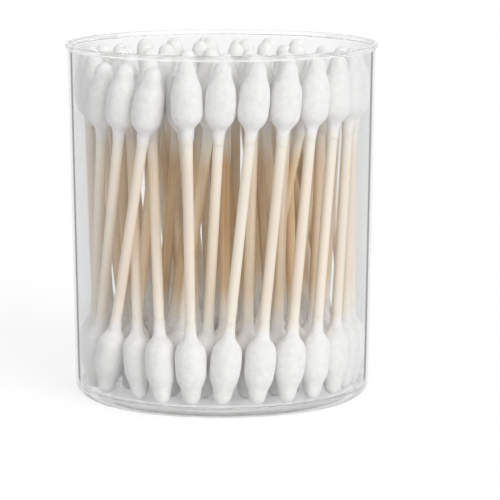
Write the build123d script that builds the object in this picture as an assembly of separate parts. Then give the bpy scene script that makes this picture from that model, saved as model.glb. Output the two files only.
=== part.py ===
from build123d import *
import os
import numpy as np

# Clear round tub, full of double-ended cotton swabs that stand on end in it.
# The tub is one thin moulding: a drafted wall with a rolled bead at its mouth, a rounded
# foot and a base panel held clear of the table. Each swab is a wooden stick with cotton
# wound on both ends: a full belly that narrows to a small rounded tip, and a thin sleeve
# where the winding runs out along the stick.
# Millimetres, +Z up. The origin is on the table, at the centre of the tub's foot, and the
# front is -Y. Angles go round the tub from its front, towards +X.

# Tub
MOUTH_RADIUS = 33.9  # outside of the wall, carried up to the rim
FOOT_RADIUS = 32.6  # outside of the wall, carried down to the table
WALL = 0.75
HEADROOM = 1.1  # from the tips of upright swabs to the rim
FOOT_CORNER = 3.0  # outer radius where the wall turns into the base
INNER_CORNER = 0.8  # the same on the inside
STANDING_RING = 1.6  # width of the flat that touches the table
PANEL_LIFT = 1.0  # gap under the base panel
PANEL_SLOPE = 1.4  # width of the slope from the standing ring up to the panel
BASE_THICKNESS = 1.4
BEAD_HEIGHT = 1.1
BEAD_REACH = 0.4  # how far the bead stands out of the wall
EDGE_ROUND = 0.3
GATE_DIAMETER = 3.0  # the mark that the moulding gate leaves under the base
GATE_HEIGHT = 0.3

# Swab, measured along its axis from either tip
SWAB_LENGTH = 74.5
LENGTH_SPREAD = 0.35  # swabs are this much longer or shorter, at most
STICK_DIAMETER = 2.25
STICK_INSET = 4.6  # cotton beyond each end of the stick
STICK_CHAMFER = 0.2
GLUE_FILM = 0.03
BELLY_DIAMETER = 6.8
BELLY_HEIGHT = 9.6
TIP_DIAMETER = 3.8
TIP_HEIGHT = 3.0  # the shoulder where the tip swells into the belly
TIP_SWELL = 0.8  # fullness of the belly just past that shoulder, in belly radii
NECK_HEIGHT = 15.4
NECK_SWELL = 0.8  # fullness of the belly more than half-way to the neck, in belly radii
SLEEVE_END = 18.4
SLEEVE_THICKNESS = 0.2
SLEEVE_EDGE = 0.08  # what is left of the sleeve's thickness at its end

# How the swabs stand in the tub
SWAB_GAP = 0.08  # least clearance from swab to swab and from swab to wall
FLOOR_GAP = 0.02
OUTER_SLACK = 1.02  # room for each swab along the outer row, in swabs
INNER_SLACK = 1.12  # the same along the other rows
ROW_SLACK = 1.03  # spacing from row to row, in swabs
TWIST = 14.4  # how far the feet lag behind the tops, in degrees
ROW_OFFSET = 17.6  # how far each row starts ahead of the one outside it, in degrees
STRAY = 11.0  # how far a foot may wish to be from its place in the row, at most
OUTER_STRAY = 0.35  # share of that in the outer row, which the wall keeps in order
CALMER_TRIES = 6  # tries at setting the swabs down, each with less straying
ORDER_SEED = 10368
PASSES = 1200  # rounds of pushing neighbours apart, at most
PUSH = 0.8
SETTLED = 0.01
END_LEVELS = 18  # heights at which neighbours are compared, along each cotton end
STICK_LEVELS = 10

# Swabs that lean otherwise: row and angle of the top, then row and angle of the foot
LEANERS = [
    (0, -57.6, 0, -86.0),
    (0, -43.2, 0, -72.0),
    (0, -28.8, 0, -58.0),
    (0, -14.4, 0, -14.4),
    (0, 0.0, 1, -9.0),
    (1, -46.0, 0, -29.0),
    (1, -64.0, 0, -43.0),
    (2, 35.0, 2, 71.0),
    (1, 39.0, 1, 35.0),
    (2, 166.0, 3, 155.0),
    (1, 18.0, 1, 8.0),
    (2, -128.0, 2, -158.0),
    (1, -173.0, 1, -176.0),
    (2, 2.0, 1, -2.0),
]
LEANER_CLAIM = 20.0  # how strongly a leaner claims its foot's place
OUTER_CLAIM = 4.0  # the same for the rest of the outer row, where the others have 1
INDULGENCE = 0.35  # share of the way from its place to its wish at which a foot starts

STICK_RADIUS = STICK_DIAMETER / 2
BELLY_RADIUS = BELLY_DIAMETER / 2
TIP_RADIUS = TIP_DIAMETER / 2
NECK_RADIUS = STICK_RADIUS + SLEEVE_THICKNESS
FLOOR_HEIGHT = PANEL_LIFT + BASE_THICKNESS
TUB_HEIGHT = FLOOR_HEIGHT + SWAB_LENGTH + HEADROOM
FOOT_CENTRE_HEIGHT = FLOOR_HEIGHT + FLOOR_GAP + TIP_RADIUS
SWAB_ROOM = BELLY_DIAMETER + SWAB_GAP


# The tub


def wall_radius(height):
    """Outside radius of the wall at a height above the table."""
    return FOOT_RADIUS + (MOUTH_RADIUS - FOOT_RADIUS) * height / TUB_HEIGHT


def bore_radius(height):
    """Inside radius of the tub at a height, with the round at its foot."""
    below = np.clip(INNER_CORNER - (height - FLOOR_HEIGHT), 0, INNER_CORNER)
    return wall_radius(height) - WALL - INNER_CORNER + np.sqrt(INNER_CORNER**2 - below**2)


def rounded_section(corners):
    """A face upright on the XZ plane with these corners (x, z, radius)."""
    face = make_face(Polyline(*[(x, z) for x, z, radius in corners], close=True))
    for x, z, radius in corners:
        if radius > 0:
            face = fillet(face.vertices().sort_by_distance((x, z))[0], radius)
    return Plane.XZ * face


def make_tub():
    """The whole moulding, turned from its section."""
    bead_under = TUB_HEIGHT - BEAD_HEIGHT
    mouth = wall_radius(TUB_HEIGHT)
    under = wall_radius(bead_under)
    ring_inside = FOOT_RADIUS - FOOT_CORNER - STANDING_RING
    bead_round = min(EDGE_ROUND, 0.7 * BEAD_REACH, 0.4 * BEAD_HEIGHT)
    bead_root = 0.2 * BEAD_REACH
    section = rounded_section([
        (0, PANEL_LIFT, 0),
        (ring_inside - PANEL_SLOPE, PANEL_LIFT, EDGE_ROUND),
        (ring_inside, 0, EDGE_ROUND),
        (FOOT_RADIUS, 0, FOOT_CORNER),
        (under, bead_under, bead_root),
        (under + BEAD_REACH, bead_under, bead_round),
        (mouth + BEAD_REACH, TUB_HEIGHT, bead_round),
        (mouth - WALL, TUB_HEIGHT, min(EDGE_ROUND, 0.4 * WALL)),
        (wall_radius(FLOOR_HEIGHT) - WALL, FLOOR_HEIGHT, INNER_CORNER),
        (0, FLOOR_HEIGHT, 0),
    ])
    upwards = (Align.CENTER, Align.CENTER, Align.MIN)
    gate = Cylinder(GATE_DIAMETER / 2, GATE_HEIGHT + BASE_THICKNESS / 2, align=upwards)
    return revolve(section, Axis.Z, 360) + Pos(0, 0, PANEL_LIFT - GATE_HEIGHT) * gate


# One swab


def cotton_skin():
    """Outline of the cotton from its tip, on the axis, to the end of the sleeve."""
    tip = CenterArc((0, TIP_RADIUS), TIP_RADIUS, -90, 72)
    shoulder = (TIP_RADIUS + 0.15 * (BELLY_RADIUS - TIP_RADIUS), TIP_HEIGHT)
    bulge = (TIP_SWELL * BELLY_RADIUS, TIP_HEIGHT + 0.25 * (BELLY_HEIGHT - TIP_HEIGHT))
    widest = (BELLY_RADIUS, BELLY_HEIGHT)
    neck = (NECK_RADIUS, NECK_HEIGHT)
    swell = Spline(tip @ 1, shoulder, bulge, widest, tangents=(tip % 1, (0, 1)))
    haunch = (NECK_SWELL * BELLY_RADIUS, BELLY_HEIGHT + 0.62 * (NECK_HEIGHT - BELLY_HEIGHT))
    taper = Spline(widest, haunch, neck, tangents=((0, 1), (0, 1)))
    sleeve = Line(neck, (STICK_RADIUS + GLUE_FILM + SLEEVE_EDGE, SLEEVE_END))
    return [tip, swell, taper, sleeve]


def make_cotton():
    """One wound end, with its tip at the origin and its bore open upwards."""
    skin = cotton_skin()
    bore = STICK_RADIUS + GLUE_FILM
    bore_bottom = STICK_INSET - GLUE_FILM
    inside = Polyline(skin[-1] @ 1, (bore, SLEEVE_END), (bore, bore_bottom), (0, bore_bottom), (0, 0))
    section = Plane.XZ * make_face([*skin, inside])
    return revolve(section, Axis.Z, 360)


def make_stick(length):
    """The stick of a swab of this length, whose lower tip is at the origin."""
    upwards = (Align.CENTER, Align.CENTER, Align.MIN)
    stick = Cylinder(STICK_RADIUS, length - 2 * STICK_INSET, align=upwards)
    return Pos(0, 0, STICK_INSET) * chamfer(stick.edges().filter_by(GeomType.CIRCLE), STICK_CHAMFER)


def make_swab(cotton, foot, top, length):
    """The stick and both cotton ends, standing with its tip centres over foot and top."""
    rise = np.sqrt((length - 2 * TIP_RADIUS) ** 2 - np.sum((top - foot) ** 2))
    axis = (*(top - foot), rise)
    stand = Plane(origin=(*foot, FOOT_CENTRE_HEIGHT), z_dir=axis).location * Pos(0, 0, -TIP_RADIUS)
    other_end = Pos(0, 0, length) * Rot(180, 0, 0)
    return [stand * make_stick(length), stand * cotton, stand * other_end * cotton]


# Where the swabs stand. Each has a point in plan for the centre of its lower tip, and
# another for the centre of its upper tip.


def in_plan(radius, degrees):
    """Points in plan at a radius and at angles from the front."""
    turn = np.radians(degrees)
    return np.stack([radius * np.sin(turn), -radius * np.cos(turn)], axis=-1)


def plan_rows():
    """The rows from the wall inwards: radius at the feet, radius at the tops, angles of the tops."""
    foot = bore_radius(FLOOR_HEIGHT + BELLY_HEIGHT) - SWAB_GAP - BELLY_RADIUS
    top = bore_radius(FLOOR_HEIGHT + SWAB_LENGTH - BELLY_HEIGHT) - SWAB_GAP - BELLY_RADIUS
    slack = OUTER_SLACK
    rows = []
    while min(foot, top) > BELLY_RADIUS:
        count = int(2 * np.pi * min(foot, top) / (SWAB_ROOM * slack))
        angles = len(rows) * ROW_OFFSET + np.arange(count) * 360 / count
        rows.append((foot, top, (angles + 180) % 360 - 180))
        foot -= SWAB_ROOM * ROW_SLACK
        top -= SWAB_ROOM * ROW_SLACK
        slack = INNER_SLACK
    return rows


def wished_feet(rows, stray, draw):
    """Where each swab would put its foot, and how strongly it claims that place."""
    wishes = []
    claims = []
    for row, (foot, top, angles) in enumerate(rows):
        reach = stray * (OUTER_STRAY if row == 0 else 1)
        wish = in_plan(foot, angles - TWIST) + draw.uniform(-reach, reach, (len(angles), 2))
        claim = np.full(len(angles), OUTER_CLAIM if row == 0 else 1.0)
        for top_row, top_angle, foot_row, foot_angle in LEANERS:
            if top_row == row and foot_row < len(rows):
                leaner = np.argmin(np.abs(angles - top_angle))
                wish[leaner] = in_plan(rows[foot_row][0], foot_angle)
                claim[leaner] = LEANER_CLAIM
        wishes.append(wish)
        claims.append(claim)
    return np.concatenate(wishes), np.concatenate(claims)


def shared_out(feet, wishes, claims):
    """Where each swab's foot starts, once any two have traded places that suit them better so."""
    misfit = claims[:, None] * ((wishes[:, None] - feet[None]) ** 2).sum(-1)
    place = np.arange(len(feet))
    traded = True
    while traded:
        traded = False
        for i in range(len(feet)):
            for j in range(i):
                stay = misfit[i, place[i]] + misfit[j, place[j]]
                trade = misfit[i, place[j]] + misfit[j, place[i]]
                if trade < stay - SETTLED:
                    place[i], place[j] = place[j], place[i]
                    traded = True
    indulged = np.where(claims == LEANER_CLAIM, 1.0, INDULGENCE)[:, None]
    return feet[place] + indulged * (wishes - feet[place])


def skin_table():
    """Distances from the tip along a swab, and its radius there."""
    points = [piece @ t for piece in cotton_skin() for t in np.linspace(0, 1, 40)]
    return np.array([p.Y for p in points]), np.array([p.X for p in points])


def slices(feet, tops, lengths, heights, skin):
    """Level slices of every swab: centre, radius, and share of the way from foot to top."""
    span = lengths - 2 * TIP_RADIUS
    lean = tops - feet
    rise = np.sqrt(span**2 - (lean**2).sum(-1))
    share = (heights[:, None] - FOOT_CENTRE_HEIGHT) / rise
    along = TIP_RADIUS + share * span
    from_end = np.minimum(along, lengths - along)
    radius = np.interp(from_end, *skin, left=-SWAB_LENGTH, right=STICK_RADIUS) * span / rise
    return feet + share[..., None] * lean, radius, share


def settled(feet, tops, lengths, skin):
    """The swabs pushed clear of one another and of the wall, and the overlap that is left."""
    feet = feet.copy()
    tops = tops.copy()
    ends = np.linspace(FLOOR_GAP, SLEEVE_END, END_LEVELS)
    sticks = np.linspace(SLEEVE_END, SWAB_LENGTH - SLEEVE_END, STICK_LEVELS + 2)[1:-1]
    heights = FLOOR_HEIGHT + np.concatenate([ends, sticks, SWAB_LENGTH - ends])
    bore = bore_radius(np.minimum(heights, TUB_HEIGHT))[:, None]
    first, second = np.triu_indices(len(feet), 1)
    pairs = np.arange(len(first))
    swabs = np.arange(len(feet))
    for _ in range(PASSES):
        centre, radius, share = slices(feet, tops, lengths, heights, skin)
        apart = centre[:, first] - centre[:, second]
        distance = np.hypot(apart[..., 0], apart[..., 1])
        overlap = radius[:, first] + radius[:, second] + SWAB_GAP - distance
        outside = np.hypot(centre[..., 0], centre[..., 1]) + radius + SWAB_GAP - bore
        left = max(overlap.max(), outside.max())
        if left < SETTLED:
            break
        foot_move = np.zeros_like(feet)
        top_move = np.zeros_like(tops)
        level = overlap.argmax(0)
        worst = overlap[level, pairs]
        for pair in pairs[worst > 0]:
            i, j, at = first[pair], second[pair], level[pair]
            t = (share[at, i] + share[at, j]) / 2
            push = PUSH * worst[pair] * apart[at, pair] / distance[at, pair]
            push /= 2 * ((1 - t) ** 2 + t**2)
            foot_move[i] += (1 - t) * push
            foot_move[j] -= (1 - t) * push
            top_move[i] += t * push
            top_move[j] -= t * push
        level = outside.argmax(0)
        worst = outside[level, swabs]
        for i in swabs[worst > 0]:
            at = level[i]
            t = share[at, i]
            push = PUSH * worst[i] * centre[at, i] / np.linalg.norm(centre[at, i])
            push /= (1 - t) ** 2 + t**2
            foot_move[i] -= (1 - t) * push
            top_move[i] -= t * push
        feet += foot_move
        tops += top_move
    return feet, tops, left


def stand_swabs():
    """Foot, top and length of every swab in the tub."""
    rows = plan_rows()
    skin = skin_table()
    places = np.concatenate([in_plan(foot, angles - TWIST) for foot, top, angles in rows])
    tops = np.concatenate([in_plan(top, angles) for foot, top, angles in rows])
    for calm in range(CALMER_TRIES):
        draw = np.random.default_rng(ORDER_SEED)
        stray = STRAY * (1 - calm / (CALMER_TRIES - 1))
        lengths = SWAB_LENGTH + draw.uniform(-LENGTH_SPREAD, LENGTH_SPREAD, len(tops))
        wishes, claims = wished_feet(rows, stray, draw)
        feet = shared_out(places, wishes, claims)
        feet, high, left = settled(feet, tops, lengths, skin)
        print(f"{len(feet)} swabs, straying up to {stray:.1f} mm: overlap left {left:.3f} mm")
        if left < SETTLED:
            break
    return feet, high, lengths


os.makedirs("parts", exist_ok=True)
export_step(make_tub(), "parts/tub.step")
cotton = make_cotton()
for number, (foot, top, length) in enumerate(zip(*stand_swabs()), start=1):
    swab = Compound(children=make_swab(cotton, foot, top, length))
    export_step(swab, f"parts/swab_{number:02d}.step")
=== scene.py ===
# %% [markdown]
# # A clear tub of cotton swabs
# The frame brings the solids of the tub and of every swab, in metres, each where it stands.
# The solids have the right sizes. What they lack is what the eye reads first: plastic that
# bends light at its rim and foot, cotton that is wound and soft, and wood with a grain.
# So each solid is measured, and a finer piece is modelled to take its place.

import math

import bpy
import numpy as np
from mathutils import Matrix, Vector


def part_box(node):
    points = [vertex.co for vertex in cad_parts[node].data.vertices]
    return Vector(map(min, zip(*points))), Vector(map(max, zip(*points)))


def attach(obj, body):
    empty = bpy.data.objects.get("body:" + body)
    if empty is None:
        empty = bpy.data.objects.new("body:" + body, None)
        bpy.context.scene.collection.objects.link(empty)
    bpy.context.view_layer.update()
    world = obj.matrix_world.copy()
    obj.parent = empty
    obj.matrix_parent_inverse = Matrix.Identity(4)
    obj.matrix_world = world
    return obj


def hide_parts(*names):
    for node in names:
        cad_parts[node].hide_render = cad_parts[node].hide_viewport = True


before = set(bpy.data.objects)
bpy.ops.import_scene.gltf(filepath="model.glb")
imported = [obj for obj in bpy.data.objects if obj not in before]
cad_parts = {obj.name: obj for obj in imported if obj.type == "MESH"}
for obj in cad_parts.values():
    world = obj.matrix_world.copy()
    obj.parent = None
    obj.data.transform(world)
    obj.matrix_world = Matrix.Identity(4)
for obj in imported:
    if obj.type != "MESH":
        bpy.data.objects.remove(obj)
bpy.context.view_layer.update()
mm = 0.001
swab_nodes = sorted(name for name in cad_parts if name.startswith("swab_"))

# %% [markdown]
# ## Ring by ring
# The tub, the sticks and the cotton are all round about an axis. On a lathe they would be
# turned, and in Blender the same form can be raised from one circle: its edge is extruded,
# moved up and resized, ring after ring. Each ring is then a real loop of edges, so a
# subdivision surface can round the form later. A spin would do as well, but it leaves a
# seam to merge and can turn the faces inside out.


# %% A helper that raises a turned form from a circle
ring_reach = 0.01 * mm


def deselect_all():
    if bpy.context.object and bpy.context.object.mode != "OBJECT":
        bpy.ops.object.mode_set(mode="OBJECT")
    bpy.ops.object.select_all(action="DESELECT")


def raise_rings(name, sides, rings):
    """A closed form through rings of (radius, height), with a pole below and above."""
    deselect_all()
    radius, height = rings[0]
    bpy.ops.mesh.primitive_circle_add(
        vertices=sides, radius=radius, fill_type="NOTHING", location=(0, 0, height)
    )
    piece = bpy.context.object
    piece.name = name
    bpy.ops.object.transform_apply(location=True)
    bpy.ops.object.mode_set(mode="EDIT")
    bpy.ops.mesh.select_all(action="SELECT")
    bpy.ops.mesh.extrude_edges_move()
    bpy.ops.mesh.merge(type="CENTER")
    bpy.ops.mesh.select_all(action="DESELECT")
    select_ring(piece, radius, height)
    for next_radius, next_height in rings[1:]:
        rise = next_height - height
        bpy.ops.mesh.extrude_edges_move(TRANSFORM_OT_translate={"value": (0, 0, rise)})
        factor = next_radius / radius
        middle = (0, 0, next_height)
        bpy.ops.transform.resize(value=(factor, factor, 1), center_override=middle)
        radius, height = next_radius, next_height
    bpy.ops.mesh.extrude_edges_move()
    bpy.ops.mesh.merge(type="CENTER")
    bpy.ops.mesh.select_all(action="SELECT")
    bpy.ops.mesh.normals_make_consistent(inside=False)
    bpy.ops.object.mode_set(mode="OBJECT")
    bpy.ops.object.shade_smooth()
    return piece


def select_ring(piece, radius, height):
    """Selects the open ring at this radius and height, in edit mode."""
    bpy.ops.object.mode_set(mode="OBJECT")
    for vertex in piece.data.vertices:
        x, y, z = vertex.co
        near = abs(math.hypot(x, y) - radius) < ring_reach
        vertex.select = near and abs(z - height) < ring_reach
    bpy.ops.object.mode_set(mode="EDIT")
    bpy.ops.mesh.select_mode(type="VERT")
    bpy.ops.mesh.select_mode(type="EDGE")


def arc_rings(centre, radius, start, end, steps):
    """Rings round a rounded corner: centre is (radius, height), and angles are in degrees."""
    turn = np.radians(np.linspace(start, end, steps))
    return [(centre[0] + radius * math.cos(a), centre[1] + radius * math.sin(a)) for a in turn]


# %% [markdown]
# ## The tub
# The real tub is one thin injection moulding of clear polystyrene. Its wall leans out by
# about a degree so that it leaves the mould, and its rim is a small rolled bead. Light
# shows such a thing only at its edges: the bead, the round foot and the wall seen end on.
# The section has to be true there, with a real inner and outer face, so the glass shader
# has a wall to bend the light in.

# %% Raise the tub's section
low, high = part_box("tub")
tub_height = high[2] - low[2]
mouth_radius = 33.9 * mm
foot_radius = 32.6 * mm
wall = 0.75 * mm
foot_corner = 3.0 * mm
inner_corner = 0.8 * mm
panel_lift = 1.0 * mm
base_thickness = 1.4 * mm
panel_edge = 26.6 * mm
standing_edge = 28.0 * mm
# steps outwards and upwards from those two edges, in millimetres
panel_profile = ((-0.3, 0.0), (0.0, -0.06), (0.15, -0.22))
standing_profile = ((-0.15, 0.17), (0.0, 0.04), (0.2, 0.0))
panel_loops = (10 * mm, 20 * mm)
floor_loops = (20 * mm, 8 * mm)
bead_height = 1.1 * mm
bead_reach = 0.4 * mm
bead_round = 0.28 * mm
mouth_round = 0.3 * mm
throat_reach = 0.02 * mm
throat_drop = 0.08 * mm
gate_radius = 1.5 * mm
gate_height = 0.3 * mm
gate_chamfer = 0.1 * mm
floor_height = panel_lift + base_thickness
wall_heights = [height * mm for height in (6, 12, 22, 34, 46, 58, 68, 74)]
lean_degrees = 1.5
foot_steps = 14
bead_steps = 6
inner_steps = 8
tub_sides = 256
crease_angle = math.radians(35)


def wall_radius(height):
    return foot_radius + (mouth_radius - foot_radius) * height / tub_height


def tub_rings():
    """The section from the middle of the base panel, round the outside, and back inside."""
    bead_under = tub_height - bead_height
    bead_middle = mouth_radius + bead_reach - bead_round
    bore_foot = wall_radius(floor_height) - wall
    gate_face = panel_lift - gate_height
    # the gate mark and the raised panel, with its rounded edge
    rings = [(gate_radius - gate_chamfer, gate_face), (gate_radius, gate_face + gate_chamfer)]
    rings += [(radius, panel_lift) for radius in (gate_radius, *panel_loops)]
    rings += [(panel_edge + out * mm, panel_lift + up * mm) for out, up in panel_profile]
    # the ring that the tub stands on, and the foot's corner
    rings += [(standing_edge + out * mm, up * mm) for out, up in standing_profile]
    foot_centre = (foot_radius - foot_corner, foot_corner)
    rings += arc_rings(foot_centre, foot_corner, -90, -lean_degrees, foot_steps)
    # up the wall, and round the bead
    rings += [(wall_radius(height), height) for height in wall_heights]
    rings += [(wall_radius(bead_under) + throat_reach, bead_under - throat_drop)]
    lower_bead = (bead_middle, bead_under + bead_round)
    upper_bead = (bead_middle, tub_height - bead_round)
    rings += arc_rings(lower_bead, bead_round, -90, 0, bead_steps)
    rings += arc_rings(upper_bead, bead_round, 0, 90, bead_steps)
    mouth_centre = (mouth_radius - wall + mouth_round, tub_height - mouth_round)
    rings += arc_rings(mouth_centre, mouth_round, 90, 180, bead_steps)
    # down the bore, and over the floor
    rings += [(wall_radius(height) - wall, height) for height in reversed(wall_heights)]
    inner_centre = (bore_foot - inner_corner, floor_height + inner_corner)
    rings += arc_rings(inner_centre, inner_corner, lean_degrees, -90, inner_steps)
    rings += [(radius, floor_height) for radius in floor_loops]
    return rings


tub = raise_rings("tub_moulding", tub_sides, tub_rings())
deselect_all()
tub.select_set(True)
bpy.context.view_layer.objects.active = tub
bpy.ops.object.shade_smooth_by_angle(angle=crease_angle)
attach(tub, "root")
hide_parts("tub")
print("tub faces:", len(tub.data.polygons))

# %% [markdown]
# ## One wound cotton end
# A machine winds a ribbon of combed cotton on the glued end of the stick and presses it in
# a hot cup, which leaves a full belly and a small round tip. The fibres run round the
# head, and the last of them thin out along the stick as a sleeve. The rings below follow
# that outline. The cup never leaves it quite even, so some ends are made, each with its
# vertices nudged by its own seed before the surface is subdivided. The sleeve runs out at a
# shallow angle, so that it dips under the stick's surface without a step.

# %% Model the cotton ends
swab_length = 74.5 * mm
stick_radius = 1.125 * mm
sleeve_end = 18.4 * mm
# radius and height of each ring, in millimetres
cotton_outline = [
    (0.5, 0.07),
    (1.0, 0.29),
    (1.44, 0.68),
    (1.76, 1.2),
    (1.92, 1.8),
    (2.03, 2.5),
    (2.17, 3.2),
    (2.41, 3.9),
    (2.72, 4.6),
    (3.02, 5.4),
    (3.26, 6.4),
    (3.38, 7.6),
    (3.42, 8.8),
    (3.42, 10.0),
    (3.37, 11.2),
    (3.2, 12.3),
    (2.76, 13.2),
    (2.05, 13.95),
    (1.54, 14.6),
    (1.37, 15.2),
    (1.33, 15.9),
    (1.27, 16.7),
    (1.21, 17.4),
    (1.15, 18.1),
    (1.06, 18.8),
]
end_sides = 24
ends_made = 7
ring_swell = (0.98, 1.008)
nudge = 0.09 * mm


def make_cotton_end(seed):
    uneven = np.random.default_rng(seed)
    rings = [(r * mm * uneven.uniform(*ring_swell), z * mm) for r, z in cotton_outline]
    end = raise_rings(f"cotton_end_{seed}", end_sides, rings)
    deselect_all()
    end.select_set(True)
    bpy.context.view_layer.objects.active = end
    bpy.ops.object.mode_set(mode="EDIT")
    bpy.ops.mesh.select_all(action="SELECT")
    bpy.ops.transform.vertex_random(offset=nudge, uniform=0.25, normal=0.75, seed=seed)
    bpy.ops.object.mode_set(mode="OBJECT")
    smooth = end.modifiers.new("wound", "SUBSURF")
    smooth.levels = 1
    smooth.render_levels = 1
    bpy.ops.object.modifier_apply(modifier=smooth.name)
    keep_own_place(end)
    return end


def keep_own_place(piece):
    """Stores each vertex's place along the unmoved swab, for patterns that follow it."""
    place = piece.data.attributes.new("swab_place", "FLOAT_VECTOR", "POINT")
    spots = np.empty(len(piece.data.vertices) * 3, dtype=np.float32)
    piece.data.vertices.foreach_get("co", spots)
    place.data.foreach_set("vector", spots)


cotton_ends = [make_cotton_end(seed) for seed in range(1, ends_made + 1)]
print("faces of one end:", len(cotton_ends[0].data.polygons))

# %% [markdown]
# ## One stick
# The stick is a straight birch dowel. Only the run between the two sleeves shows, but the
# piece is made at its whole length, with its ends inside the cotton.

# %% Model the stick
stick_inset = 4.6 * mm
stick_sides = 20
stick_length = swab_length - 2 * stick_inset
cut_edge = 0.2 * mm
stick_rings = [(stick_radius - cut_edge, 0.0), (stick_radius, cut_edge)]
stick_rings += [(stick_radius, stick_length * share) for share in (0.2, 0.4, 0.6, 0.8)]
stick_rings += [(stick_radius, stick_length - cut_edge), (stick_radius - cut_edge, stick_length)]
stick = raise_rings("stick_pattern", stick_sides, stick_rings)
stick.data.transform(Matrix.Translation((0, 0, stick_inset)))
keep_own_place(stick)
print("faces of one stick:", len(stick.data.polygons))

# %% [markdown]
# ## Where each swab stands
# No two swabs lean the same way. Each solid from the frame tells where its swab is: the
# long direction of its points is the axis, and the middle of each head gives a point on
# that axis. The matrix that stands a pattern on the axis is all that a copy needs.


# %% Measure the swabs
axis_rounds = 3


def axis_of(node):
    """Lower tip, upper tip and length of a swab, read from its solid."""
    points = np.array([v.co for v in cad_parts[node].data.vertices])
    middle = points.mean(axis=0)
    direction = np.linalg.svd(points - middle, full_matrices=False)[2][0]
    direction *= np.sign(direction[2])
    # each round measures the ends squarely to the direction of the round before
    for _ in range(axis_rounds):
        side = np.cross(direction, (0, 1, 0))
        side /= np.linalg.norm(side)
        other = np.cross(direction, side)
        along = (points - middle) @ direction
        centres = []
        for end in (along < along.min() + sleeve_end, along > along.max() - sleeve_end):
            a = points[end] @ side
            b = points[end] @ other
            c = points[end] @ direction
            spot = side * (a.min() + a.max()) / 2 + other * (b.min() + b.max()) / 2
            centres.append(spot + direction * (c.min() + c.max()) / 2)
        direction = centres[1] - centres[0]
        direction /= np.linalg.norm(direction)
    base = centres[0]
    along = (points - base) @ direction
    lower = base + direction * along.min()
    upper = base + direction * along.max()
    return lower, upper, np.linalg.norm(upper - lower)


def standing(lower, upper):
    """The matrix that stands a pattern with its tip at lower and its axis towards upper."""
    turn = Vector((0, 0, 1)).rotation_difference(Vector(upper - lower))
    return Matrix.Translation(Vector(lower)) @ turn.to_matrix().to_4x4()


axes = {name: axis_of(name) for name in swab_nodes}
lengths = [axes[name][2] / mm for name in swab_nodes]
print(f"swab lengths: {min(lengths):.2f} to {max(lengths):.2f} mm")

# %% [markdown]
# ## Fifty-eight swabs
# Each swab takes two of the cotton ends and a stick, every one with its own copy of the
# mesh. An end is first turned about its own axis by a chance angle, so that two copies of
# the same end never show the same side. The chance is seeded, so the tub fills the same
# way each time.

# %% Copy the patterns into the tub
chance = np.random.default_rng(12)
end_swell = (0.98, 1.005)
most_shift = 90


def copy_of(pattern, name, matrix, shift):
    """A copy with its place in its mesh, and its pattern's place shifted by chance."""
    mesh = pattern.data.copy()
    mesh.transform(matrix)
    place = mesh.attributes["swab_place"]
    spots = np.empty(len(mesh.vertices) * 3, dtype=np.float32)
    place.data.foreach_get("vector", spots)
    spots = spots.reshape(-1, 3) + np.array(shift, dtype=np.float32)
    place.data.foreach_set("vector", spots.ravel())
    piece = bpy.data.objects.new(name, mesh)
    bpy.context.scene.collection.objects.link(piece)
    return piece


def chance_shift():
    """A sideways shift of some whole centimetres, which keeps the height along the swab."""
    across = float(chance.integers(1, most_shift)) * 10 * mm
    back = float(chance.integers(1, most_shift)) * 10 * mm
    return (across, back, 0.0)


def stand_in_tub(piece, node):
    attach(piece, "root")
    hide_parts(node)


cotton_pieces = []
stick_pieces = []
for node in swab_nodes:
    lower, upper, length = axes[node]
    stand = standing(lower, upper)
    over = Matrix.Translation((0, 0, length)) @ Matrix.Rotation(math.pi, 4, "X")
    halves = []
    for flip in (Matrix.Identity(4), over):
        turn = Matrix.Rotation(chance.uniform(0, 2 * math.pi), 4, "Z")
        swell = chance.uniform(*end_swell)
        squeeze = Matrix.Diagonal((swell, swell, 1.0, 1.0))
        pattern = cotton_ends[chance.integers(ends_made)]
        matrix = stand @ flip @ turn @ squeeze
        halves.append(copy_of(pattern, f"{node}_cotton", matrix, chance_shift()))
    deselect_all()
    for half in halves:
        half.select_set(True)
    bpy.context.view_layer.objects.active = halves[0]
    bpy.ops.object.join()
    cotton_pieces.append(halves[0])
    stand_in_tub(halves[0], node)
    settle = Matrix.Translation((0, 0, (length - swab_length) / 2))
    wood = copy_of(stick, f"{node}_stick", stand @ settle, chance_shift())
    stick_pieces.append(wood)
    stand_in_tub(wood, node)

for pattern in [*cotton_ends, stick]:
    bpy.data.objects.remove(pattern)
print("cotton pieces:", len(cotton_pieces), "sticks:", len(stick_pieces))

# %% [markdown]
# ## Cotton
# Cotton is white because light enters it, wanders between clear fibres and comes out
# again. A rough white surface with some scattering below it gives that softness, and a
# little sheen gives the pale bloom of loose fibres at the edges. The relief comes from
# noise that is squeezed along the swab, so it reads as fibres wound round the head. On the
# sleeve the cotton is only a film, and the wood shows through it in patches. Cotton and
# wood both need such noise, drawn out round or along the swab, so it is a node group.


# %% Helpers that add a node and feed its inputs
def feed(tree, node, feeds):
    """Sets the plain values on the node's inputs, and links the sockets to them."""
    for label, source in feeds.items():
        if isinstance(source, bpy.types.NodeSocket):
            tree.links.new(source, node.inputs[label])
        else:
            node.inputs[label].default_value = source


def add(tree, kind, place=(0, 0), feeds=None, **settings):
    """A node with its settings, fed with values or with other nodes' sockets."""
    node = tree.nodes.new(kind)
    node.location = place
    for label, value in settings.items():
        setattr(node, label, value)
    feed(tree, node, feeds or {})
    return node


# %% Helpers for values
def add_math(tree, place, operation, *sources, clamp=False):
    """The result of one operation on values or sockets."""
    feeds = dict(enumerate(sources))
    node = add(tree, "ShaderNodeMath", place, feeds, operation=operation, use_clamp=clamp)
    return node.outputs["Value"]


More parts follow.
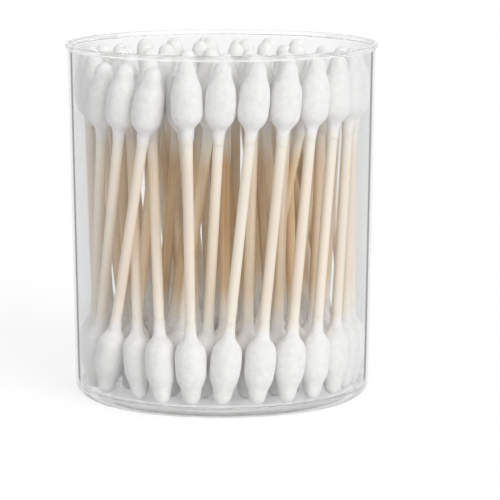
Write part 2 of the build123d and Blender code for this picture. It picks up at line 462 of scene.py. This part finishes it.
def add_range(tree, place, source, start, end, low=0.0, high=1.0):
    """Runs from low to high while the source runs from start to end, and stops there."""
    feeds = {"Value": source, "From Min": start, "From Max": end, "To Min": low, "To Max": high}
    return add(tree, "ShaderNodeMapRange", place, feeds, clamp=True).outputs["Result"]


# %% Helpers for colours
def add_mix(tree, place, share, first, second, blend="MIX"):
    """The second colour laid over the first, by the share."""
    feeds = {"Factor": share, "A": first, "B": second}
    node = add(tree, "ShaderNodeMix", place, feeds, data_type="RGBA", blend_type=blend)
    return node.outputs["Result"]


def add_ramp(tree, place, source, stops):
    """The colours of (position, colour) stops, picked by the source."""
    ramp = add(tree, "ShaderNodeValToRGB", place, {"Fac": source})
    elements = ramp.color_ramp.elements
    elements[0].position, elements[0].color = stops[0][0], (*stops[0][1], 1)
    elements[1].position, elements[1].color = stops[-1][0], (*stops[-1][1], 1)
    for position, colour in stops[1:-1]:
        elements.new(position).color = (*colour, 1)
    return ramp.outputs["Color"]


# %% Helpers for places and relief
def add_height(tree, place, vector):
    """The upward part of a vector."""
    return add(tree, "ShaderNodeSeparateXYZ", place, {"Vector": vector}).outputs["Z"]


def add_radius(tree, place, vector):
    """How far a place is from the tub's upright axis."""
    without_height = {0: vector, 1: (1, 1, 0)}
    level = add(tree, "ShaderNodeVectorMath", place, without_height, operation="MULTIPLY")
    beside = (place[0] + 200, place[1])
    flat = {0: level.outputs["Vector"]}
    return add(tree, "ShaderNodeVectorMath", beside, flat, operation="LENGTH").outputs["Value"]


def add_relief(tree, place, height, strength, distance):
    """The bumps that a height makes."""
    feeds = {"Height": height, "Strength": strength, "Distance": distance}
    return add(tree, "ShaderNodeBump", place, feeds).outputs["Normal"]


def new_material(name):
    """A material, its tree of nodes and its main shader."""
    material = bpy.data.materials.new(name)
    material.use_nodes = True
    tree = material.node_tree
    return material, tree, tree.nodes["Principled BSDF"]


# %% Shared effect: streaks that run round or along the swab
def streaks_group():
    """A mask from 0 to 1 of noise stretched by different amounts round and along a swab."""
    group = bpy.data.node_groups.new("streaks", "ShaderNodeTree")
    for label, value in (("Round Scale", 300.0), ("Along Scale", 3000.0), ("Detail", 3.0)):
        socket = group.interface.new_socket(label, in_out="INPUT", socket_type="NodeSocketFloat")
        socket.default_value = value
    group.interface.new_socket("Mask", in_out="OUTPUT", socket_type="NodeSocketFloat")
    entry = add(group, "NodeGroupInput", (-700, 0)).outputs
    place = add(group, "ShaderNodeAttribute", (-700, 300), attribute_name="swab_place")
    around, along = entry["Round Scale"], entry["Along Scale"]
    scales = {"X": around, "Y": around, "Z": along}
    stretch = add(group, "ShaderNodeCombineXYZ", (-450, 0), scales).outputs["Vector"]
    both = {0: place.outputs["Vector"], 1: stretch}
    spot = add(group, "ShaderNodeVectorMath", (-200, 150), both, operation="MULTIPLY")
    feeds = {"Vector": spot.outputs["Vector"], "Scale": 1.0, "Detail": entry["Detail"]}
    noise = add(group, "ShaderNodeTexNoise", (50, 100), feeds)
    add(group, "NodeGroupOutput", (500, 0), {"Mask": noise.outputs["Fac"]})
    return group


streaks = streaks_group()


def add_streaks(tree, place, round_scale, along_scale, detail):
    feeds = {"Round Scale": round_scale, "Along Scale": along_scale, "Detail": detail}
    return add(tree, "ShaderNodeGroup", place, feeds, node_tree=streaks).outputs["Mask"]


def add_swab_height(tree, place):
    """The height along the unmoved swab, from 0 at its lower tip."""
    stored = add(tree, "ShaderNodeAttribute", place, attribute_name="swab_place")
    return add_height(tree, (place[0] + 200, place[1]), stored.outputs["Vector"])


print("streaks group nodes:", len(streaks.nodes))

# %% Cotton material
cotton_white = (0.92, 0.915, 0.905)
cotton_shade = (0.87, 0.865, 0.855)
wood_film = (0.925, 0.865, 0.765)
film_start = 14.2 * mm
film_end = 17.6 * mm
film_patchiness = 0.9
film_growth = 1.5
film_offset = -1.0
# round scale, along scale and detail of each kind of streak
winding_scales = (420, 2600, 3)
tuft_scales = (700, 700, 2)
fuzz_scales = (2500, 5200, 2)
tuft_height = 2.0
fuzz_height = 0.35
winding_strength = 0.55
winding_depth = 0.16 * mm


def make_cotton():
    material, tree, skin = new_material("wound_cotton")
    winding = add_streaks(tree, (-900, 200), *winding_scales)
    tufts = add_streaks(tree, (-900, 0), *tuft_scales)
    fuzz = add_streaks(tree, (-900, -200), *fuzz_scales)
    fibres = add_ramp(tree, (-600, 300), tufts, [(0.35, cotton_shade), (0.6, cotton_white)])
    # the film of cotton on the stick thins out in patches
    height = add_swab_height(tree, (-900, 600))
    thinned = add_range(tree, (-500, 600), height, film_start, film_end)
    bared = add_math(tree, (-400, 450), "MULTIPLY_ADD", thinned, film_growth, film_offset)
    patch_feeds = (winding, film_patchiness, bared)
    patches = add_math(tree, (-300, 600), "MULTIPLY_ADD", *patch_feeds, clamp=True)
    colour = add_mix(tree, (-100, 400), patches, fibres, (*wood_film, 1))
    lumps = add_math(tree, (-700, -50), "MULTIPLY_ADD", tufts, tuft_height, winding)
    relief = add_math(tree, (-500, -50), "MULTIPLY_ADD", fuzz, fuzz_height, lumps)
    feeds = {
        "Base Color": colour,
        "Normal": add_relief(tree, (-250, -50), relief, winding_strength, winding_depth),
        "Roughness": 0.95,
        "Specular IOR Level": 0.15,
        "Subsurface Weight": 0.4,
        "Subsurface Radius": (1.0, 0.96, 0.93),
        "Subsurface Scale": 1.4 * mm,
        "Sheen Weight": 0.25,
        "Sheen Roughness": 0.6,
    }
    feed(tree, skin, feeds)
    return material


cotton = make_cotton()
for piece in cotton_pieces:
    piece.data.materials.append(cotton)
print("cotton nodes:", len(cotton.node_tree.nodes))

# %% [markdown]
# ## Birch
# The sticks are pale, dry birch with no varnish. Their tone by place is painted light and
# shade: by the wall they are painted cream, as if lit, and in the middle of the bundle they
# keep a deeper honey, as painted shade for light that has bounced between many of them. The
# grain is noise that is drawn out along the stick: a broad one that tints the whole stick,
# and a fine one for the pores. Beside the sleeves a trace of cotton film whitens the wood,
# so that no ring shows where the sleeve runs out.

# %% Wood material
white = (1, 1, 1)
# the cream below is painted light for the sticks by the wall
painted_lit_cream = (0.96, 0.9, 0.815)
wood_light = (0.9, 0.78, 0.6)
wood_pale = (0.83, 0.64, 0.41)
wood_deep = (0.68, 0.44, 0.22)
grain_tint = (0.8, 0.73, 0.62)
pore_tint = (0.82, 0.76, 0.68)
# painted light and shade: sticks near the tub's axis keep the deeper tones as painted shade, and
# towards the wall they are painted cream, as if lit
shaded_inner_radius = 21 * mm
lit_outer_radius = 27 * mm
painted_light_share = 0.68
trace_end = 24 * mm
shade_scales = (260, 9, 2)
grain_scales = (2600, 45, 4)
pore_scales = (6500, 260, 2)
grain_share = 0.55
pore_share = 0.5
grain_strength = 0.25
grain_depth = 0.05 * mm


def make_wood():
    material, tree, skin = new_material("birch")
    shade = add_streaks(tree, (-900, 200), *shade_scales)
    grain = add_streaks(tree, (-900, 0), *grain_scales)
    pores = add_streaks(tree, (-900, -200), *pore_scales)
    tones = [(0.3, wood_deep), (0.5, wood_pale), (0.7, wood_light)]
    base = add_ramp(tree, (-650, 250), shade, tones)
    lines = add_ramp(tree, (-650, 0), grain, [(0.36, grain_tint), (0.56, white)])
    specks = add_ramp(tree, (-650, -250), pores, [(0.3, pore_tint), (0.4, white)])
    grained = add_mix(tree, (-350, 200), grain_share, base, lines, "MULTIPLY")
    pored = add_mix(tree, (-150, 100), pore_share, grained, specks, "MULTIPLY")
    # painted light and shade: the sticks by the wall are painted paler, as if lit, than those in
    # the middle, which stay deeper as painted shade
    where = add(tree, "ShaderNodeTexCoord", (-900, 900)).outputs["Object"]
    radius = add_radius(tree, (-700, 900), where)
    painted_light_mask = add_range(tree, (-300, 900), radius, shaded_inner_radius, lit_outer_radius, 0.0, painted_light_share)
    painted_lit_wood = add_mix(tree, (-50, 600), painted_light_mask, pored, (*painted_lit_cream, 1))
    # the trace of cotton film is measured from the middle of the stick, for both sleeves
    half = swab_length / 2
    height = add_swab_height(tree, (-900, 600))
    middle = add_math(tree, (-500, 600), "SUBTRACT", height, half)
    away = add_math(tree, (-350, 600), "ABSOLUTE", middle)
    trace = add_range(tree, (-200, 600), away, half - trace_end, half - sleeve_end)
    feeds = {
        "Base Color": add_mix(tree, (50, 250), trace, painted_lit_wood, (*wood_film, 1)),
        "Normal": add_relief(tree, (-250, -200), grain, grain_strength, grain_depth),
        "Roughness": 0.62,
        "Specular IOR Level": 0.3,
        "Subsurface Weight": 0.15,
        "Subsurface Radius": (1.0, 0.6, 0.35),
        "Subsurface Scale": 1.0 * mm,
    }
    feed(tree, skin, feeds)
    return material


birch = make_wood()
for piece in stick_pieces:
    piece.data.materials.append(birch)
print("birch nodes:", len(birch.node_tree.nodes))

# %% [markdown]
# ## Clear plastic: haze
# Clear polystyrene is glass to the eye: it bends light and mirrors a little of the room. A
# thin haze with faint flow lines keeps it from being too perfect, and the thick foot and
# the bead are duller than the wall. They also let part of the light straight through, but
# for the foot's lowest edge, so that a fine line stays where the tub meets the table.

# %% Haze, foot and bead
bead_foot = tub_height - bead_height
bead_start = bead_foot - 0.3 * mm
foot_end = 2.9 * mm
foot_full = 2.2 * mm
bead_dullness = 0.5
end_roughness = 0.2
haze_least = 0.01
haze_most = 0.05
see_through = 0.45
lowest_edge = 0.14 * mm
edge_end = 0.3 * mm
flow_stretch = (1.0, 1.0, 0.22)
flow_scale = 95.0

clear_plastic, clear_tree, clear_skin = new_material("clear_polystyrene")
spot = add(clear_tree, "ShaderNodeTexCoord", (-1400, 0)).outputs["Object"]
height = add_height(clear_tree, (-1150, 100), spot)
drawn_out = {"Vector": spot, "Scale": flow_stretch}
drawn = add(clear_tree, "ShaderNodeMapping", (-900, -200), drawn_out).outputs["Vector"]
flow_feeds = {"Vector": drawn, "Scale": flow_scale, "Detail": 2.0}
flow = add(clear_tree, "ShaderNodeTexNoise", (-700, -200), flow_feeds).outputs["Fac"]
haze = add_range(clear_tree, (-450, -100), flow, 0.0, 1.0, haze_least, haze_most)
foot = add_range(clear_tree, (-700, 100), height, foot_end, foot_full)
bead = add_range(clear_tree, (-700, -50), height, bead_start, bead_foot, 0.0, bead_dullness)
ends = add_math(clear_tree, (-450, 50), "ADD", foot, bead)
rough = add_math(clear_tree, (-250, 50), "MULTIPLY_ADD", ends, end_roughness, haze)
edge = add_range(clear_tree, (-450, -250), height, lowest_edge, edge_end, 0.0, -see_through)
solid = add_math(clear_tree, (-250, -150), "MULTIPLY_ADD", ends, edge, 1.0)
print(f"haze: {haze_least} to {haze_most}, foot and bead: up to {end_roughness} more")

# %% [markdown]
# ## Clear plastic: the wall's sides
# A clear tub is drawn by its sides. Where the wall turns away from the eye, its colour is
# painted darker, as painted shade for the light that is lost in it, and a painted dark line
# runs down its outer skin, where a ray only just misses the bore. Layer Weight tells how far
# a surface has turned, so a ramp can place the painted shade and line. Seen from above the
# painted line goes, which a second Layer Weight with its normal set upright tells.

# %% Tone of the wall, with painted side shade and a painted dark line
# painted shade: the side tone and the near-black line colour are painted into the glass's colour
# where the wall turns from the eye
plastic_tint = (0.93, 0.932, 0.935)
painted_side_shade = (0.7, 0.705, 0.71)
painted_dark_line = (0.004, 0.004, 0.004)
# painted light: the foot and the bead are painted paler than the wall, to lift the dark band in
# the thick foot
painted_pale_ends = (0.99, 0.99, 0.99)
side_shade_stops = [(0.3, plastic_tint), (0.6, painted_side_shade)]
dark_line_stops = [(0.745, white), (0.768, painted_dark_line), (0.806, painted_dark_line), (0.83, white)]
wall_start = 2.5 * mm
wall_full = 4.5 * mm
wall_slope = (mouth_radius - foot_radius) / tub_height
above_start = 0.3
above_full = 0.6
flow_strength = 0.04
flow_depth = 0.05 * mm

turned = add(clear_tree, "ShaderNodeLayerWeight", (-1150, 700), {"Blend": 0.5})
painted_side_darkening = add_ramp(clear_tree, (-900, 900), turned.outputs["Facing"], side_shade_stops)
painted_edge_line = add_ramp(clear_tree, (-900, 650), turned.outputs["Facing"], dark_line_stops)
# the painted dark line is only on the outer skin, below the bead
radius = add_radius(clear_tree, (-1150, 450), spot)
skin_feeds = (height, wall_slope, foot_radius - wall / 2)
within_wall = add_math(clear_tree, (-950, 250), "MULTIPLY_ADD", *skin_feeds)
outside = add_math(clear_tree, (-750, 400), "GREATER_THAN", radius, within_wall)
below = add_math(clear_tree, (-750, 250), "LESS_THAN", height, bead_start)
outer_skin = add_math(clear_tree, (-550, 350), "MULTIPLY", outside, below)
upwards = add(clear_tree, "ShaderNodeCombineXYZ", (-1400, 1000), {"Z": 1.0})
upright_normal = {"Normal": upwards.outputs["Vector"]}
above = add(clear_tree, "ShaderNodeLayerWeight", (-1150, 1000), upright_normal)
seen_flat = above.outputs["Facing"]
from_side = add_range(clear_tree, (-900, 1150), seen_flat, above_start, above_full)
painted_line_share = add_math(clear_tree, (-550, 1000), "MULTIPLY", outer_skin, from_side)
tint_and_painted_shade = add_mix(clear_tree, (-400, 700), painted_line_share, painted_side_darkening, painted_edge_line, "MULTIPLY")
# the foot and the bead are left out of the painted side shade and line, and their tint is
# painted paler than the wall's, to lift the dark band that light caught in the thick foot leaves
upright = add_range(clear_tree, (-900, 50), height, wall_start, wall_full)
on_wall = add_math(clear_tree, (-400, 350), "MULTIPLY", upright, below)
tone = add_mix(clear_tree, (-200, 400), on_wall, (*painted_pale_ends, 1), tint_and_painted_shade)
relief = add_math(clear_tree, (-550, -400), "MULTIPLY", on_wall, flow)
clear_feeds = {
    "Base Color": tone,
    "Roughness": rough,
    "Alpha": solid,
    "Normal": add_relief(clear_tree, (-350, -350), relief, flow_strength, flow_depth),
    "Specular Tint": (0.35, 0.35, 0.35, 1),
    "Transmission Weight": 1.0,
    "IOR": 1.5,
}
feed(clear_tree, clear_skin, clear_feeds)
print(f"slope of the wall: {wall_slope:.4f}")

# %% [markdown]
# ## Clear plastic: light
# A refracting shader would leave the swabs in the dark, because lamps can't shine straight
# through it, so it is swapped for a plain see-through one on the rays that carry light to
# the swabs. Some rays are caught in the wall, as in a light guide, and would end black.
# They are let out, dimmed, after three mirrorings.

# %% Light through the plastic
lit_tint = (0.985, 0.985, 0.985, 1)
let_out_tint = (0.75, 0.75, 0.755, 1)
# a ray that has been mirrored three times is past this
most_mirrorings = 2.5


def add_blend(tree, place, share, first, second):
    """The second shader instead of the first, by the share."""
    feeds = {0: share, 1: first, 2: second}
    return add(tree, "ShaderNodeMixShader", place, feeds).outputs["Shader"]


rays = add(clear_tree, "ShaderNodeLightPath", (-100, 700)).outputs
light_rays = (rays["Is Shadow Ray"], rays["Is Diffuse Ray"])
lit = add_math(clear_tree, (100, 700), "ADD", *light_rays, clamp=True)
clear = add(clear_tree, "ShaderNodeBsdfTransparent", (100, 500), {"Color": lit_tint})
plastic_blend = (lit, clear_skin.outputs["BSDF"], clear.outputs["BSDF"])
lighted = add_blend(clear_tree, (350, 200), *plastic_blend)
caught = add_math(clear_tree, (350, 500), "GREATER_THAN", rays["Glossy Depth"], most_mirrorings)
dimmed = add(clear_tree, "ShaderNodeBsdfTransparent", (350, 0), {"Color": let_out_tint})
let_out = add_blend(clear_tree, (600, 200), caught, lighted, dimmed.outputs["BSDF"])
clear_tree.links.new(let_out, clear_tree.nodes["Material Output"].inputs["Surface"])
tub.data.materials.append(clear_plastic)
print("plastic nodes:", len(clear_tree.nodes))

# %% [markdown]
# ## Floor and light
# The set is a white sweep. The world is white to the camera, to mirrors and through the
# plastic, and lights the object less than that. The floor glows a little for the same
# rays, and still takes the tub's shadow. One large sun from the right front gives the
# heads their form.

# %% The set
floor_size = 4.0
floor_glow = 1.18
floor_glow_share = 0.62
world_light = 0.6
world_seen = 1.0
sun_strength = 1.55
sun_width = math.radians(40)
sun_way = Vector((-0.5, 0.75, -0.42))

deselect_all()
bpy.ops.mesh.primitive_plane_add(size=floor_size, location=(0, 0, 0))
floor = bpy.context.object
floor.name = "floor"


def add_seen_mask(tree):
    """1 for rays that show the white set: to the camera, off gloss and through plastic."""
    rays = add(tree, "ShaderNodeLightPath", (-700, 300)).outputs
    first_rays = (rays["Is Camera Ray"], rays["Is Glossy Ray"])
    direct = add_math(tree, (-500, 300), "ADD", *first_rays, clamp=True)
    return add_math(tree, (-300, 300), "ADD", direct, rays["Is Transmission Ray"], clamp=True)


floor_material, floor_tree, floor_skin = new_material("white_floor")
floor_feeds = {"Base Color": (0.9, 0.9, 0.9, 1), "Roughness": 0.95, "Specular IOR Level": 0.0}
feed(floor_tree, floor_skin, floor_feeds)
floor_seen = add_seen_mask(floor_tree)
floor_share = add_math(floor_tree, (-100, 300), "MULTIPLY", floor_seen, floor_glow_share)
glow = add(floor_tree, "ShaderNodeEmission", (0, -250), {"Strength": floor_glow})
floor_blend = (floor_share, floor_skin.outputs["BSDF"], glow.outputs["Emission"])
floor_look = add_blend(floor_tree, (250, 100), *floor_blend)
floor_tree.links.new(floor_look, floor_tree.nodes["Material Output"].inputs["Surface"])
floor.data.materials.append(floor_material)

world = bpy.data.worlds.new("white_room")
bpy.context.scene.world = world
world.use_nodes = True
sky = world.node_tree
room = sky.nodes["Background"]
feed(sky, room, {"Color": (1, 1, 1, 1), "Strength": world_light})
seen_feeds = {"Color": (1, 1, 1, 1), "Strength": world_seen}
room_seen = add(sky, "ShaderNodeBackground", (0, -200), seen_feeds)
sky_blend = (add_seen_mask(sky), room.outputs["Background"], room_seen.outputs["Background"])
sky_look = add_blend(sky, (200, 100), *sky_blend)
sky.links.new(sky_look, sky.nodes["World Output"].inputs["Surface"])

sun = bpy.data.lights.new("key", "SUN")
sun.energy = sun_strength
sun.angle = sun_width
key = bpy.data.objects.new("key", sun)
key.rotation_euler = sun_way.to_track_quat("-Z", "Y").to_euler()
bpy.context.scene.collection.objects.link(key)
print("floor:", floor_size, "m, world:", world_light, "sun:", sun_strength)

# %% [markdown]
# ## Camera
# A long lens stands two thirds of a metre away, a little above the rim, and looks down by
# about nine degrees. So the mouth shows as a flat ellipse and the walls stand nearly
# parallel, as on a product photograph.

# %% The camera
camera_spot = (0.0, -0.6833, 0.1379)
camera_pitch = math.radians(8.83)
camera_yaw = math.radians(0.522)
lens = bpy.data.cameras.new("camera")
lens.lens = 224.2
lens.sensor_width = 36.0
lens.clip_start = 0.01
camera = bpy.data.objects.new("camera", lens)
camera.location = camera_spot
camera.rotation_euler = (math.pi / 2 - camera_pitch, 0.0, -camera_yaw)
bpy.context.scene.collection.objects.link(camera)
bpy.context.scene.camera = camera
bpy.context.scene.view_settings.view_transform = "Standard"
print("camera:", camera_spot, "lens:", lens.lens)
